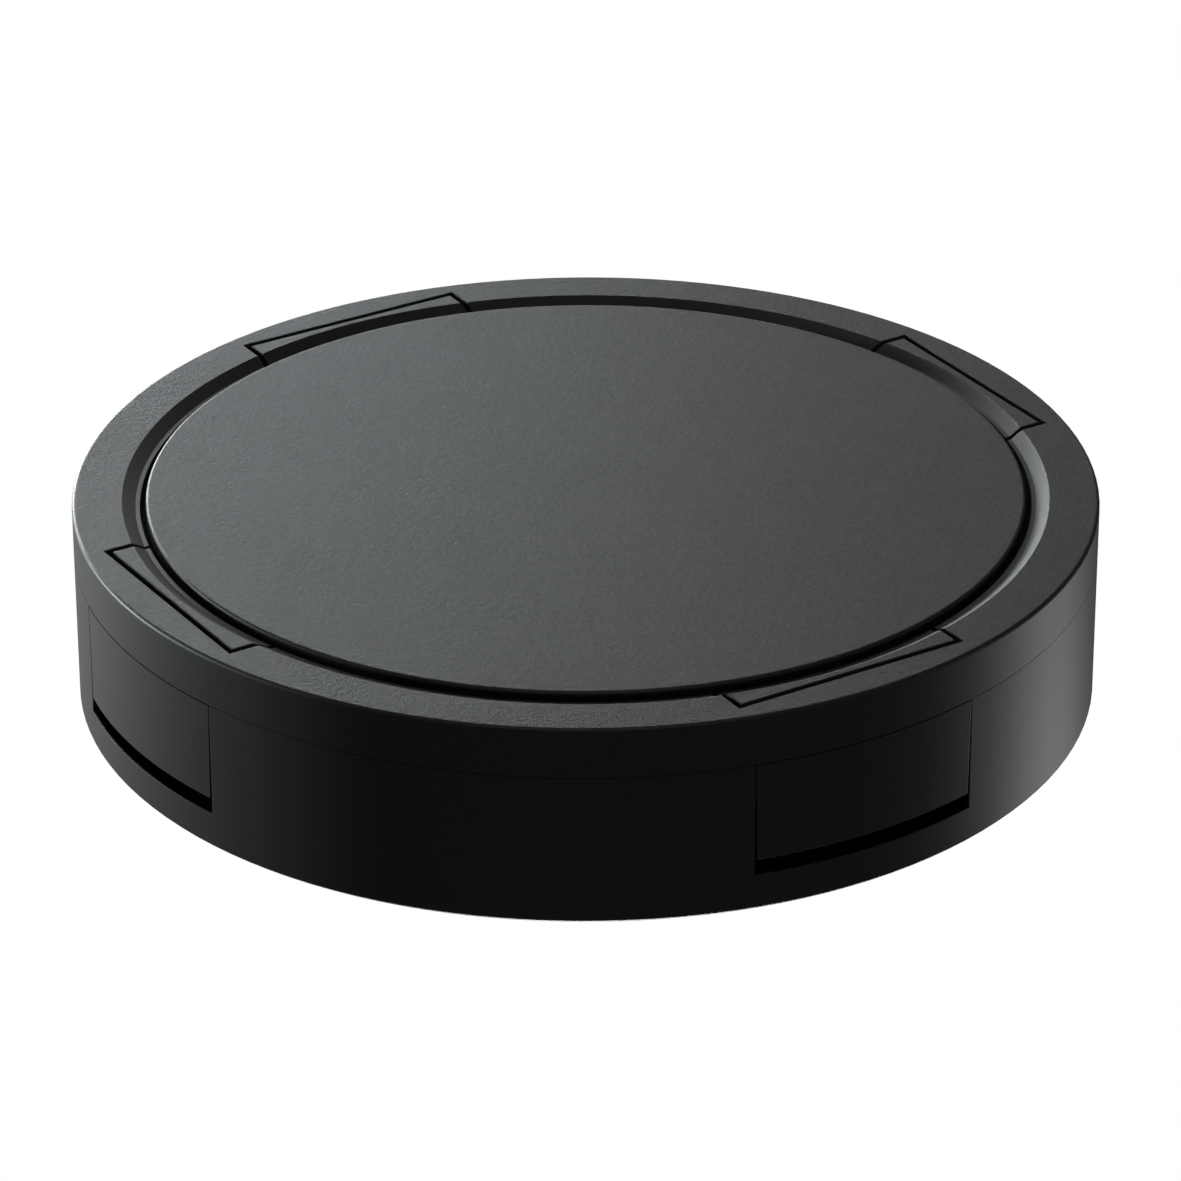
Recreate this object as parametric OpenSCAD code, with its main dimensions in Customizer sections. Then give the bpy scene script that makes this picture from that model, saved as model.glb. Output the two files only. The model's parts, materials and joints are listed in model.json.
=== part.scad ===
// Robot vacuum: a round floor robot with a floating outer shell, a lift-off lid held by
// four rocker latches, sprung drive wheels, a caster, a main brush, a side brush, a fan
// and a dust bin. Millimetres. +Z is up, +Y is forward, the origin is on the floor below
// the centre of the body.

/* [Body] */
// Diameter across the side wall
body_d = 350; // [345:1:430]
// Height from the floor to the top of the lid
body_h = 80; // [80:0.5:100]
// Height of the bottom edge above the floor
ground_gap = 9.5; // [9:0.1:11]
// Thickness of the side wall
wall_t = 2.4; // [2:0.1:3]
// Radius of the top outer edge
edge_r = 1.3; // [0.8:0.1:2]

/* [Rim ring] */
// Height of the rim ring, from the seam to the top
rim_h = 17.65; // [16.5:0.05:20]
// Width of the flat top of the rim
rim_flat_w = 17; // [16:0.5:20]
// Width of the sloping band inside the flat
bevel_w = 4.5; // [3:0.5:6]
// Fall of the sloping band
bevel_drop = 2.5; // [1.5:0.1:3]
// Width of the flat ledge at the foot of the slope
ledge_w = 1.7; // [1:0.1:3]
// Thickness of the rim's top
deck_t = 3; // [2:0.1:3.5]
// Height of the fine seam between rim and side wall
seam_gap = 0.2; // [0.15:0.05:0.6]

/* [Lid] */
// Gap between the lid and the rim's ledge
lid_gap = 1.8; // [1.2:0.1:2.5]
// Thickness of the lid
lid_t = 2.6; // [2:0.1:3.5]
// Radius of the lid's edge
lid_edge_r = 1.2; // [0.6:0.1:1.6]

/* [Latches] */
// Width of one latch's flap and window, along the rim
latch_w = 84; // [70:1:90]
// Distance of the latch head's straight side from the side wall's outside
latch_inset = 14.6; // [13.6:0.1:15.6]
// Gap round the latch head
latch_gap = 2; // [1.6:0.1:2.2]
// Height of the sill below each latch window, above the bottom edge
sill_h = 12.5; // [11:0.5:15]
// Height of the open slot between the sill and the flap
slot_h = 5.7; // [5:0.1:8]
// Thickness of the flap
flap_t = 2.4; // [2:0.1:3]
// Diameter of the latch pins
latch_pin_d = 3; // [2.5:0.1:3.5]

/* [Floating shell] */
// Travel of the shell when the robot meets an obstacle
float_travel = 3; // [2:0.1:3.5]
// Diameter of the posts that carry the shell
float_post_d = 6; // [5:0.5:7]

/* [Drive wheels] */
// Diameter of the drive wheels
wheel_d = 62; // [58:1:64]
// Width of the tyres
tyre_w = 19; // [14:1:20]
// Distance between the middles of the two tyres
wheel_track = 230; // [228:1:236]
// Diameter of the wheel axles
axle_d = 6; // [5:0.5:8]

/* [Caster] */
// Diameter of the caster wheel
caster_d = 28; // [24:1:30]
// Width of the caster wheel
caster_w = 13; // [10:1:15]
// Distance of the caster from the body's centre
caster_y = 116; // [114:0.5:116]

/* [Main brush] */
// Diameter over the brush vanes
brush_d = 36; // [32:1:38]
// Length of the brush
brush_l = 148; // [130:1:148]
// Distance of the brush behind the wheel line
brush_back = 38; // [37:0.5:40]

/* [Side brush] */
// Reach of the side brush from its centre
side_brush_reach = 55; // [48:1:56]
// Distance of the side brush from the body's centre
side_brush_r = 127; // [125:0.5:127]

/* [Dust bin] */
// Width of the dust bin
bin_w = 140; // [120:1:140]
// Wall thickness of the dust bin
bin_wall = 1.8; // [1.5:0.1:2.4]
// Width of the mouth where dust comes in
bin_mouth_w = 100; // [80:1:110]

/* [Hidden] */
$fn = 96;
EPS = 0.01;

// ---- Colours
shell_black = [0.09, 0.09, 0.09];
lid_black = [0.15, 0.15, 0.15];
inner_black = [0.2, 0.2, 0.21];
part_grey = [0.35, 0.35, 0.36];
steel = [0.72, 0.73, 0.75];
copper = [0.85, 0.55, 0.35];
rubber_black = [0.06, 0.06, 0.06];

// ---- Heights
body_r = body_d / 2;
pan_t = 2.5;
pan_z = ground_gap;
floor_z = pan_z + pan_t;
seam_z = body_h - rim_h;
lid_under_z = body_h - lid_t;
deck_top_z = body_h - 11.5;
top_plate_t = 2.5;
deck_z = deck_top_z - top_plate_t;
sill_z = ground_gap + sill_h;
flap_low_z = sill_z + slot_h;

// ---- Radii of the rim and the lid
bevel_r = body_r - rim_flat_w;
ledge_r = bevel_r - bevel_w;
rim_in_r = ledge_r - ledge_w;
lid_r = rim_in_r - lid_gap;
wall_in_r = body_r - wall_t;
rim_skirt_t = 2.4;
edge_chamfer = 0.3;
rim_skirt_z = body_h - 14;
lid_shelf_r = lid_r - 1.6;
lid_skirt_t = 2.4;
lid_skirt_h = 2.4;
lid_shelf_top = lid_under_z - lid_skirt_h - 0.3;
lid_shelf_t = 2.2;
lid_rib_r = [60, 110];
lid_rib_t = 1.6;
lid_rib_h = 2;

// ---- The chassis inside the shell
lip_w = 1.4;
flange_z = floor_z + 0.5;
flange_t = 1.4;
run_gap = 0.3;
pan_r = wall_in_r - lip_w - float_travel - run_gap;
flange_in_r = pan_r - 1.4;
tub_r = rim_in_r - float_travel - 3.3;
tub_t = 2;
tub_in_r = tub_r - tub_t;

// ---- Latches
latch_angles = [0, 90, 180, 270];
latch_half = latch_w / 2;
head_half = latch_half - 0.6;
head_n = body_r - latch_inset;
cut_n = head_n + latch_gap;
cut_half = head_half + latch_gap;
head_z = rim_skirt_z;
curb_t = 2;
pivot_n = cut_n - 2.4;
pivot_z = seam_z - 2.85;
pivot_boss_r = 4;
pin_fit = 0.05;
pin_plate_t = 2.5;
latch_ribs = [-30, 0, 30];
rib_t = 3;
flap_gap_top = 0.4;
flap_gap_low = 1;
sill_lip = 0.6;
magnet_l = 14;
magnet_t = 3;
magnet_h = 4.5;
magnet_z = body_h - bevel_drop - 7.5;
spring_at = [12];
spring_wire = 0.9;
spring_turns = 4;
spring_mean_r = 2.6;

// ---- Floating shell
float_angles = [45, 135, 225, 315];
float_r = body_r - 16;
lug_t = 2;
lug_z = seam_z - 14.35;
lug_hole_r = float_post_d / 2 + float_travel + run_gap;
lug_r = lug_hole_r + 3;
collar_r = float_post_d / 2 + 5;
gusset_at = collar_r + float_travel * cos(45) + run_gap + 1.2;
washer_t = 1.2;
shell_boss_angles = [24, 66, 114, 156, 204, 246, 294, 336];
shell_boss_r = body_r - 8.7;
shell_boss_d = 7.2;
screw_d = 3;
screw_head_d = 5.6;
screw_head_h = 1.8;
blade_angles = [74, 106];
blade_t = 1.2;
sensor_gap = 3.6;
sensor_back = 23;
blade_l = sensor_back - 7;
shell_boss_z = flange_z - 0.4;
tongue_t = 2.2;

// ---- Drive wheels
wheel_x = wheel_track / 2;
wheel_z = wheel_d / 2;
hub_r = wheel_d / 2 - 7;
well_gap = 2.2;
arm_in_x = wheel_x - tyre_w / 2 - 17;
arm_out_x = wheel_x - tyre_w / 2 - 1.5;
arm_pivot_y = 44;
arm_pivot_z = wheel_z + 9;
arm_pin_d = 5;
arm_drop_y = 4.5;
arm_spring_y = -2;
arm_case_r = 14;
well_y_back = -wheel_d / 2 - well_gap;
well_out_x = wheel_x + tyre_w / 2 + well_gap;
well_roof_z = wheel_d + well_gap;
ear_t = 3.2;

// ---- Caster
caster_z = caster_d / 2;
caster_trail = 7;
fork_r = 17;
fork_low_z = ground_gap + 2;
fork_top_z = caster_d + 4;
caster_cup_r = caster_trail + caster_d / 2 + 2.5;
caster_cup_t = 1.8;
caster_cup_top = fork_top_z + 1.5;
caster_stem_d = 7;
caster_pin_d = 3;
swivel_fit = 0.05;

// ---- Main brush
brush_y = -brush_back;
brush_r = brush_d / 2;
brush_z = brush_r + 2;
tunnel_r = brush_r + 2.4;
tunnel_t = 1.6;
tunnel_half = brush_l / 2 + 3;
core_r = 8;
brush_shaft_d = 6;
guard_bars = [-40, 0, 40];
guard_bar_w = 2;
vane_gap = 6;
guard_t = 1.8;
guard_rim = 6;
guard_edge = 1;
guard_tabs = [-45, 45];
gear_case_w = 7.5;
brush_motor_z = brush_z + tunnel_r + tunnel_t + 11.5;
brush_twist = 100;
brush_ends = concat([-brush_l / 2 + 1], guard_bars, [brush_l / 2 - 1]);

// ---- Side brush
side_brush_x = side_brush_r * cos(45);
side_brush_y = side_brush_r * sin(45);
side_motor_r = 14;
side_hub_r = 11;

// ---- Dust bin, duct and fan
bin_x0 = -95;
bin_x1 = bin_x0 + bin_w;
bin_front = brush_y - tunnel_r - tunnel_t - 2.5;
bin_r = tub_in_r - 3.4;
bin_z = floor_z + 1.2;
bin_top = deck_top_z;
bin_gap = 1;
well_t = 1.6;
mouth_x = -20;
mouth_z0 = 24;
mouth_z1 = 38;
fan_x = 75;
fan_y = -86;
fan_case_r = 24;
fan_z0 = floor_z + 3;
fan_z1 = fan_z0 + 28;
fan_wall = 1.6;
impeller_r = 20;
fan_eye_r = 11;
filter_z0 = fan_z1 + 3;
filter_z1 = deck_z - 3;
filter_y0 = -106;
filter_y1 = -68;
exhaust_end_x = sqrt(pow(tub_in_r - 0.5, 2) - pow(fan_y - fan_case_r, 2));
cover_t = 2.2;
handle_x = -25;
handle_y = -80;
handle_half = 30;
handle_z = bin_top + 2.2;
handle_t = 3.2;
handle_pin_r = 1.2;
handle_l = 36;

// ---- Battery and board
battery_l = 128;
battery_w = 38;
battery_h = 24;
battery_y = 60.5;
cover_margin = 8.5;
board_w = 120;
board_y0 = 22;
board_y1 = 98;
board_z = deck_z - 14;
board_t = 1.6;
board_post_d = 7;
key_x = 30;
key_y = 60;
key_d = 14;
key_travel = 1.2;

cover_screw_x = [-50, 50];
cover_screw_y = battery_y + battery_w / 2 + 4.6;
board_post_at = [[-55, board_y0 + 4], [55, board_y0 + 4], [-55, board_y1 - 4], [55, board_y1 - 4]];

// ---- Sensors and charging contacts
cliff_angles = [60, 120, 10, 170];
cliff_r = body_r - 21;
contact_x = 40;
contact_y = 128;

// Screws through the pan into the deck's bosses
base_screw_at = [[-90, 90], [62, 122], [-62, 122], [112, -75], [-120, -60], [66, -122]];
base_boss_d = 8;

// ---- Helpers

module ring(r_in, r_out, z_low, z_high) {
    translate([0, 0, z_low])
        difference() {
            cylinder(r = r_out, h = z_high - z_low);
            translate([0, 0, -1])
                cylinder(r = r_in, h = z_high - z_low + 2);
        }
}

module disc(r, z_low, z_high) {
    translate([0, 0, z_low])
        cylinder(r = r, h = z_high - z_low);
}

module block(x, y, z) {
    translate([x[0], y[0], z[0]])
        cube([x[1] - x[0], y[1] - y[0], z[1] - z[0]]);
}

// A cylinder along X, centred on y, z
module rod_x(r, x, y, z) {
    translate([x[0], y, z])
        rotate([0, 90, 0])
            cylinder(r = r, h = x[1] - x[0]);
}

// A plate of the given outline in the X-Z plane, extruded along Y and centred on it
module plate_xz(t, y) {
    translate([0, y + t / 2, 0])
        rotate([90, 0, 0])
            linear_extrude(t)
                children();
}

module mirror_x(side) {
    if (side < 0)
        mirror([1, 0, 0])
            children();
    else
        children();
}

// Points of a round corner, from one angle to another
function corner(c, r, a0, a1, steps = 6) =
    [for (i = [0:steps]) c + r * [cos(a0 + (a1 - a0) * i / steps), sin(a0 + (a1 - a0) * i / steps)]];

// ---- Outer shell

module side_wall_profile() {
    polygon(concat(
        [[wall_in_r - lip_w, pan_z + 0.6], [wall_in_r - lip_w + 0.6, pan_z], [body_r - 0.8, pan_z]],
        [[body_r, pan_z + 0.8], [body_r, seam_z - seam_gap / 2]],
        [[wall_in_r, seam_z - seam_gap / 2], [wall_in_r, flange_z + flange_t + 1.5]],
        [[wall_in_r - 1.5, flange_z + flange_t], [flange_in_r, flange_z + flange_t]],
        [[flange_in_r, flange_z], [wall_in_r - lip_w, flange_z]]));
}

module shell_boss(z_low, z_high) {
    translate([shell_boss_r, 0, 0])
        difference() {
            union() {
                disc(shell_boss_d / 2, z_low, z_high);
                block([0, wall_in_r - shell_boss_r + 0.5], [-0.9, 0.9], [z_low + 2, z_high]);
            }
            disc(screw_d / 2, z_low - 1, z_high + 1);
        }
}

// Takes the sill's top down inwards at 45 degrees, so that the slot has a thin lip
module sill_slope() {
    in_r = wall_in_r - 1;
    intersection() {
        rotate_extrude()
            polygon([[in_r, sill_z - (body_r - sill_lip - in_r)], [body_r - sill_lip, sill_z],
                [body_r - sill_lip, sill_z + 1], [in_r, sill_z + 1]]);
        block([0, body_r], [-latch_half, latch_half], [0, seam_z]);
    }
}

module side_wall() color(shell_black) {
    difference() {
        rotate_extrude()
            side_wall_profile();
        for (a = latch_angles)
            rotate([0, 0, a]) {
                block([body_r - 20, body_r + 5], [-latch_half, latch_half], [sill_z, seam_z + 5]);
                sill_slope();
            }
        for (a = shell_boss_angles)
            rotate([0, 0, a])
                translate([shell_boss_r, 0, 0])
                    disc(screw_d / 2, flange_z - 1, flange_z + flange_t + 1);
    }
    for (a = shell_boss_angles)
        rotate([0, 0, a])
            shell_boss(shell_boss_z, seam_z - seam_gap / 2);
    for (a = blade_angles)
        bump_blade(a);
}

// A vertical blade inside the front of the wall, that dips into a light gate
module bump_blade(a) {
    x = wall_in_r * cos(a);
    y_wall = wall_in_r * sin(a);
    intersection() {
        block([x - blade_t / 2, x + blade_t / 2], [y_wall - blade_l, y_wall + 3],
            [floor_z + 8, floor_z + 16]);
        disc(wall_in_r + wall_t / 2, 0, body_h);
    }
}

module rim_profile() {
    polygon(concat(
        [[wall_in_r, seam_z + seam_gap / 2], [body_r, seam_z + seam_gap / 2]],
        corner([body_r - edge_r, body_h - edge_r], edge_r, 0, 90),
        [[bevel_r, body_h], [ledge_r, body_h - bevel_drop], [rim_in_r, body_h - bevel_drop]],
        [[rim_in_r, lid_shelf_top], [lid_shelf_r, lid_shelf_top]],
        [[lid_shelf_r, lid_shelf_top - lid_shelf_t], [rim_in_r, lid_shelf_top - lid_shelf_t - 1]],
        [[rim_in_r, rim_skirt_z], [rim_in_r + rim_skirt_t, rim_skirt_z]],
        [[rim_in_r + rim_skirt_t, body_h - bevel_drop - deck_t]],
        [[bevel_r + 1, body_h - deck_t], [wall_in_r - 1.5, body_h - deck_t]],
        [[wall_in_r, body_h - deck_t - 1.5]]));
}

// Walls round a latch opening, whose two ends carry the latch pin
module latch_curb() {
    difference() {
        intersection() {
            union() {
                block([rim_in_r - 20, cut_n + curb_t], [-cut_half - pin_plate_t, cut_half + pin_plate_t],
                    [rim_skirt_z, body_h - deck_t + EPS]);
                block([pivot_n - 7, pivot_n + 4.4], [-cut_half - pin_plate_t, cut_half + pin_plate_t],
                    [pivot_z - 4, rim_skirt_z + 1]);
            }
            ring(rim_in_r, wall_in_r - 2.4, 0, body_h - bevel_drop - 1);
        }
        block([0, cut_n], [-cut_half, cut_half], [rim_skirt_z - 1, body_h + 1]);
        block([0, body_r], [-cut_half, cut_half], [0, rim_skirt_z]);
        translate([pivot_n, 0, pivot_z])
            rotate([90, 0, 0])
                cylinder(r = latch_pin_d / 2 + 0.01, h = 2 * cut_half + 20, center = true);
    }
    // Stops that the springs' upper legs lean on
    for (t = spring_at)
        block([cut_n, cut_n + curb_t], [t - 2, t + 2], [rim_skirt_z - 4, rim_skirt_z + 1]);
}

module float_post() {
    translate([float_r, 0, 0])
        difference() {
            union() {
                disc(float_post_d / 2, lug_z - 0.3, body_h - deck_t + EPS);
                disc(collar_r, lug_z + lug_t + run_gap, lug_z + lug_t + run_gap + 1.8);
                for (q = [0, 90])
                    rotate([0, 0, q])
                        block([-collar_r + 1, collar_r - 1], [-0.8, 0.8],
                            [lug_z + lug_t + run_gap + 1, body_h - deck_t + EPS]);
            }
            disc(screw_d / 2, lug_z - 2, lug_z + 16);
        }
}

// What a 45 degree chamfer takes off the flat top's edges round a straight-sided opening or block:
// the side at n and the two ends at half, with out = 1 for an opening and -1 for a block
module edge_chamfers(n, half, out) {
    c = edge_chamfer;
    top = body_h + EPS;
    plate_xz(2 * half + 2 * c, 0)
        polygon([[n - out * EPS, body_h - c], [n - out * EPS, top], [n + out * (c + EPS), top]]);
    for (side = [-1, 1])
        scale([1, side, 1])
            rotate([90, 0, 90])
                linear_extrude(n)
                    polygon([[half - out * EPS, body_h - c], [half - out * EPS, top],
                        [half + out * (c + EPS), top]]);
}

// Tongue inside the side wall, open at the latches and at the screw bosses
module rim_tongue() {
    difference() {
        union() {
            ring(wall_in_r - tongue_t, wall_in_r - 0.1, seam_z - 3, seam_z + 4);
            ring(wall_in_r - tongue_t, wall_in_r + EPS, seam_z + 2, seam_z + 4);
        }
        for (a = latch_angles)
            rotate([0, 0, a])
                block([0, body_r], [-cut_half - pin_plate_t - 1, cut_half + pin_plate_t + 1], [0, body_h]);
        for (a = shell_boss_angles)
            rotate([0, 0, a])
                block([0, body_r], [-shell_boss_d / 2 - 0.5, shell_boss_d / 2 + 0.5], [0, body_h]);
    }
}

module rim_ring() color(shell_black) {
    difference() {
        union() {
            rotate_extrude()
                rim_profile();
            rim_tongue();
        }
        for (a = latch_angles)
            rotate([0, 0, a]) {
                block([rim_in_r - 20, cut_n], [-cut_half, cut_half], [rim_skirt_z - 2, body_h + 1]);
                edge_chamfers(cut_n, cut_half, 1);
            }
    }
    for (a = latch_angles)
        rotate([0, 0, a])
            latch_curb();
    for (a = float_angles)
        rotate([0, 0, a])
            float_post();
    for (a = shell_boss_angles)
        rotate([0, 0, a])
            shell_boss(seam_z + seam_gap / 2, body_h - deck_t + EPS);
}

// A pan-head screw pointing up, with its head's underside at z
module screw_up(z, length, head_d = screw_head_d) {
    disc(screw_d / 2 - 0.02, z - EPS, z + length);
    difference() {
        disc(head_d / 2, z - screw_head_h, z);
        for (q = [0, 90])
            rotate([0, 0, q])
                block([-1.6, 1.6], [-0.4, 0.4], [z - screw_head_h - 1, z - screw_head_h + 0.9]);
    }
}

module shell_screws() color(steel) {
    for (a = shell_boss_angles)
        rotate([0, 0, a])
            translate([shell_boss_r, 0, 0])
                screw_up(shell_boss_z, seam_z - shell_boss_z + 7, 5);
}

module float_screws() color(steel) {
    for (a = float_angles)
        rotate([0, 0, a])
            translate([float_r, 0, 0]) {
                difference() {
                    disc(collar_r, lug_z - 0.3 - washer_t, lug_z - 0.3);
                    disc(screw_d / 2 - 0.05, lug_z - 5, lug_z + 1);
                }
                screw_up(lug_z - 0.3 - washer_t, 12);
            }
}

// ---- Latches

module latch_pins() color(steel) {
    for (a = latch_angles)
        rotate([0, 0, a])
            translate([pivot_n, 0, pivot_z])
                rotate([90, 0, 0])
                    cylinder(r = latch_pin_d / 2, h = 2 * (cut_half + pin_plate_t), center = true);
}

// Tube of a round wire that follows a list of points round an axis
module wire(points, r, axis, sides = 6) {
    n = len(points);
    rings = [for (i = [0:n - 1])
        let (d = points[min(i + 1, n - 1)] - points[max(i - 1, 0)],
            z = d / norm(d),
            x = cross(axis, z) / norm(cross(axis, z)),
            y = cross(z, x))
        [for (k = [0:sides - 1])
            points[i] + r * (cos(360 * k / sides) * x + sin(360 * k / sides) * y)]];
    skin = [for (i = [0:n - 2]) for (k = [0:sides - 1])
        let (a = i * sides + k, b = i * sides + (k + 1) % sides)
        for (f = [[a, a + sides, b + sides], [a, b + sides, b]]) f];
    ends = [[for (k = [0:sides - 1]) k], [for (k = [sides - 1:-1:0]) (n - 1) * sides + k]];
    polyhedron(points = [for (q = rings) for (p = q) p], faces = concat(skin, ends), convexity = 8);
}

// Torsion spring on a latch pin: one leg up against the rim, one leg down behind the flap
module torsion_spring() {
    pitch = spring_wire * 1.15;
    span = spring_turns * 360;
    coil = [for (q = [0:30:span])
        [spring_mean_r * cos(q), pitch * q / 360, spring_mean_r * sin(q)]];
    stop_x = cut_n - pivot_n - spring_wire / 2 - pin_fit;
    leg_up = [[stop_x, 0, 7], [stop_x, 0, 2.2]];
    leg_down = [[spring_mean_r + 1.2, pitch * spring_turns, 1],
        [spring_mean_r + 6, pitch * spring_turns, -1.5]];
    wire(concat(leg_up, coil, leg_down), spring_wire / 2, [0, 1, 0]);
}

module latch_springs() color(steel) {
    for (a = latch_angles)
        rotate([0, 0, a])
            for (t = spring_at)
                translate([pivot_n, t, pivot_z])
                    torsion_spring();
}

// Solid of the rim's section between the inner face and the latch opening's straight side
module head_profile(inset) {
    polygon([[rim_in_r + inset, head_z - inset], [body_r, head_z - inset], [body_r, body_h - inset],
        [bevel_r + inset / 4, body_h - inset], [ledge_r + inset / 4, body_h - bevel_drop - inset],
        [rim_in_r + inset, body_h - bevel_drop - inset]]);
}

module latch_head() {
    shell = 2.2;
    difference() {
        intersection() {
            rotate_extrude()
                head_profile(0);
            block([0, head_n], [-head_half, head_half], [0, body_h + 1]);
        }
        for (side = [-1, 1])
            intersection() {
                rotate_extrude()
                    head_profile(shell);
                block([0, head_n - shell], [side > 0 ? magnet_l / 2 + 3 : -head_half + shell,
                    side > 0 ? head_half - shell : -magnet_l / 2 - 3], [0, body_h + 1]);
            }
        magnet_block(0);
        edge_chamfers(head_n, head_half, -1);
    }
    for (t = latch_ribs)
        if (t != 0)
            intersection() {
                rotate_extrude()
                    head_profile(0.5);
                block([0, head_n - 0.5], [t - rib_t / 2, t + rib_t / 2], [head_z, body_h]);
            }
}

module magnet_block(grow) {
    block([rim_in_r + 1.2 - grow, rim_in_r + 1.2 + magnet_t + grow], [-magnet_l / 2, magnet_l / 2],
        [magnet_z, magnet_z + magnet_h]);
}

module latch_rib_outline() {
    polygon([[rim_in_r + 1.6, head_z + EPS], [head_n - 0.4, head_z + EPS], [head_n + 1.2, pivot_z + 3.4],
        [body_r, seam_z - 2.2], [body_r, flap_low_z + 6], [wall_in_r - 1.2, flap_low_z + 6],
        [pivot_n - 2, pivot_z - 3.6], [pivot_n - 4, pivot_z + 1]]);
}

module latch_lever() {
    difference() {
        union() {
            latch_head();
            // Flap, flush with the side wall and a little narrower at its foot
            intersection() {
                ring(body_r - flap_t, body_r, flap_low_z, seam_z - run_gap);
                rotate([90, 0, 90])
                    linear_extrude(body_r + 5)
                        polygon([[-latch_half + flap_gap_low, flap_low_z - 1],
                            [latch_half - flap_gap_low, flap_low_z - 1],
                            [latch_half - flap_gap_top, seam_z], [-latch_half + flap_gap_top, seam_z]]);
            }
            // Ribs that join head, pivot and flap
            intersection() {
                for (t = latch_ribs)
                    plate_xz(rib_t, t)
                        latch_rib_outline();
                disc(body_r - flap_t / 2, 0, body_h);
            }
            for (t = latch_ribs)
                translate([pivot_n, t, pivot_z])
                    rotate([90, 0, 0])
                        cylinder(r = pivot_boss_r, h = rib_t + 4, center = true);
        }
        translate([pivot_n, 0, pivot_z])
            rotate([90, 0, 0])
                cylinder(r = latch_pin_d / 2 + pin_fit, h = latch_w, center = true);
    }
}

module latch(a) color(shell_black)
    rotate([0, 0, a])
        latch_lever();

module magnet(a) color(steel)
    rotate([0, 0, a])
        magnet_block(0);

// ---- Lid

module lid() color(lid_black) {
    rotate_extrude()
        polygon(concat(
            [[0, lid_under_z], [lid_r - lid_skirt_t, lid_under_z]],
            [[lid_r - lid_skirt_t, lid_under_z - lid_skirt_h], [lid_r, lid_under_z - lid_skirt_h]],
            corner([lid_r - lid_edge_r, body_h - lid_edge_r], lid_edge_r, 0, 90),
            [[0, body_h]]));
    // Stiffening ribs below
    for (r = lid_rib_r)
        ring(r, r + lid_rib_t, lid_under_z - lid_rib_h, lid_under_z + EPS);
    for (a = [0:30:330])
        rotate([0, 0, a])
            block([lid_rib_r[0] + 0.5, lid_r - 8], [-lid_rib_t / 2, lid_rib_t / 2],
                [lid_under_z - lid_rib_h, lid_under_z + EPS]);
    for (a = latch_angles)
        rotate([0, 0, a])
            difference() {
                block([lid_r - 10, lid_r - 2], [-magnet_l / 2 - 2, magnet_l / 2 + 2],
                    [lid_under_z - lid_skirt_h, lid_under_z + EPS]);
                striker_block();
            }
}

module striker_block() {
    block([lid_r - 6, lid_r - 3], [-magnet_l / 2, magnet_l / 2],
        [lid_under_z - lid_skirt_h - 1, lid_under_z - 0.4]);
}

module lid_strikers() color(steel) {
    for (a = latch_angles)
        rotate([0, 0, a])
            intersection() {
                striker_block();
                block([0, body_r], [-body_r, body_r], [lid_under_z - lid_skirt_h, body_h]);
            }
}

// ---- Chassis

module bin_outline(inset) {
    intersection() {
        translate([bin_x0 + inset, -body_r])
            square([bin_w - 2 * inset, body_r + bin_front - inset]);
        circle(r = bin_r - inset);
    }
}

module well_box(grow, z) {
    block([arm_in_x - 2 - grow, well_out_x + grow], [well_y_back - grow, arm_pivot_y + 10 + grow], z);
}

module pan_floor_openings() {
    // Main brush, wheels, caster, side brush and battery
    block([-tunnel_half - gear_case_w, tunnel_half + tunnel_t],
        [brush_y - tunnel_r - tunnel_t, brush_y + tunnel_r + tunnel_t], [pan_z - 1, floor_z + 1]);
    for (side = [-1, 1])
        mirror_x(side)
            well_box(0, [pan_z - 1, floor_z + 1]);
    translate([0, caster_y, 0])
        disc(caster_cup_r, pan_z - 1, floor_z + 1);
    translate([side_brush_x, side_brush_y, 0])
        disc(side_hub_r + 2, pan_z - 1, floor_z + 1);
    block([-battery_l / 2 - cover_margin - 0.3, battery_l / 2 + cover_margin + 0.3],
        [battery_y - battery_w / 2 - cover_margin - 0.3, battery_y + battery_w / 2 + cover_margin + 0.3],
        [pan_z - 1, pan_z + 2.1]);
    block([-battery_l / 2 - 0.6, battery_l / 2 + 0.6],
        [battery_y - battery_w / 2 - 0.6, battery_y + battery_w / 2 + 0.6], [pan_z, floor_z + 1]);
    for (a = cliff_angles)
        rotate([0, 0, a])
            block([cliff_r - 4, cliff_r + 4], [-7, 7], [pan_z - 1, floor_z + 1]);
    for (side = [-1, 1])
        block([side * contact_x - 9, side * contact_x + 9], [contact_y - 4.5, contact_y + 4.5],
            [pan_z - 1, pan_z + 0.6]);
    for (p = base_screw_at)
        translate([p[0], p[1], 0]) {
            disc(screw_d / 2 + 0.2, pan_z - 1, floor_z + 1);
            disc(screw_head_d / 2 + 0.3, pan_z - 1, pan_z + 1);
        }
    for (x = cover_screw_x)
        translate([x, cover_screw_y, 0])
            disc(screw_d / 2, pan_z - 1, floor_z + 1);
}

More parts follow.
